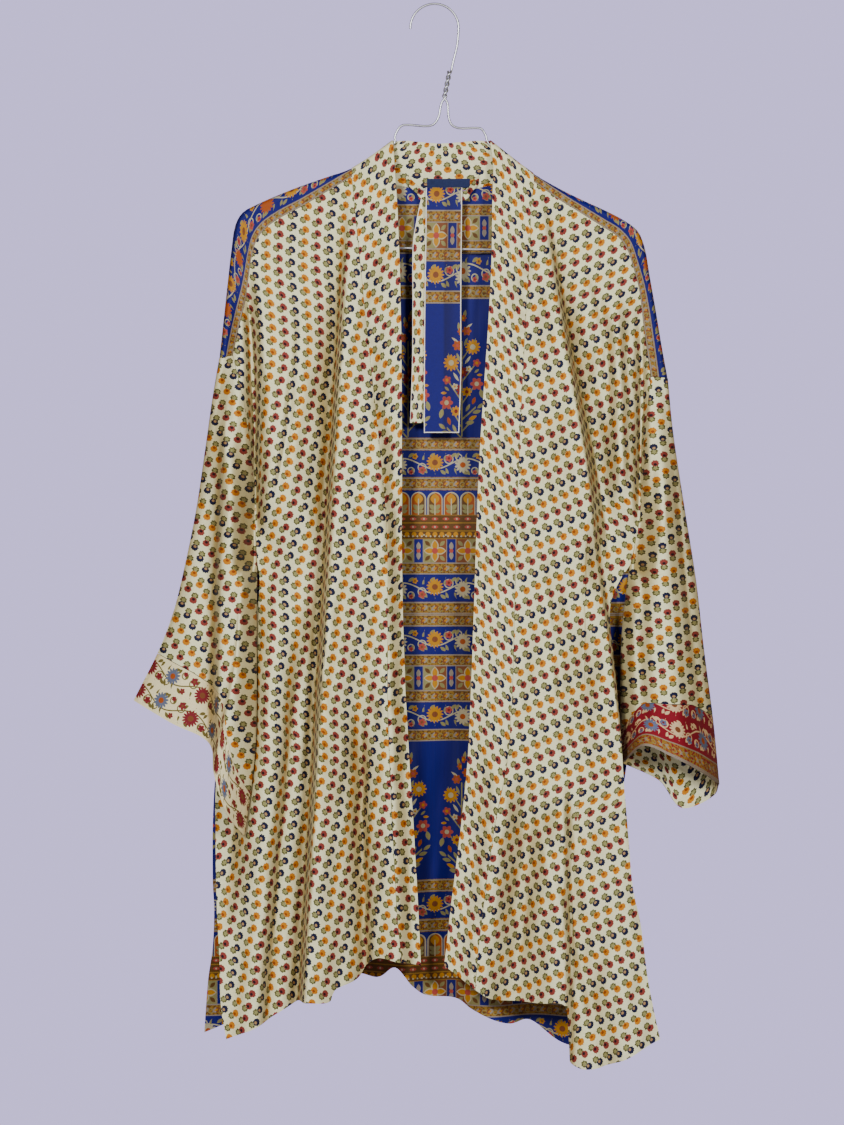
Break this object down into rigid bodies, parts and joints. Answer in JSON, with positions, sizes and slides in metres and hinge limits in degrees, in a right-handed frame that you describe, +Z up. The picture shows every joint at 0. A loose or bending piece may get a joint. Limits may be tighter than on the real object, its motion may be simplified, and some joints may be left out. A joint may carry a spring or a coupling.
{
  "type": "short kimono on a wire hanger",
  "caption": "Short open kimono jacket of printed silk with a sari lining, its sash hung on its loop, on a twisted wire hanger.",
  "frame": {"origin": "inside of the hanger's hook, at its top, where a rail carries it", "axes": "+Z up, +X towards the wearer's left, which is the viewer's right, and -Y towards the viewer"},
  "size_m": [0.5847, 0.0854, 1.0622],
  "materials": {
    "cream_silk": "soft printed silk with small flowers",
    "sari_silk": "deep blue printed sari silk with gold borders",
    "border_silk": "blue sari silk with a gold edge",
    "vine_silk": "cream silk printed with vines",
    "crimson_silk": "crimson sari border with a gold edge",
    "label_tape": "plain woven tape",
    "steel_wire": "bright drawn wire"
  },
  "bodies": {
    "root": {"back": "cream_silk", "back_lining": "sari_silk", "front_right": "cream_silk", "front_left": "cream_silk", "neckband": "cream_silk", "shoulder_strip_right": "border_silk", "shoulder_strip_left": "border_silk", "sleeve_right": "cream_silk", "cuff_right": "vine_silk", "sleeve_left": "cream_silk", "cuff_left": "crimson_silk", "sash": "sari_silk", "hanging_loop": "cream_silk", "label": "label_tape", "hanger": "steel_wire"}
  },
  "joints": []
}
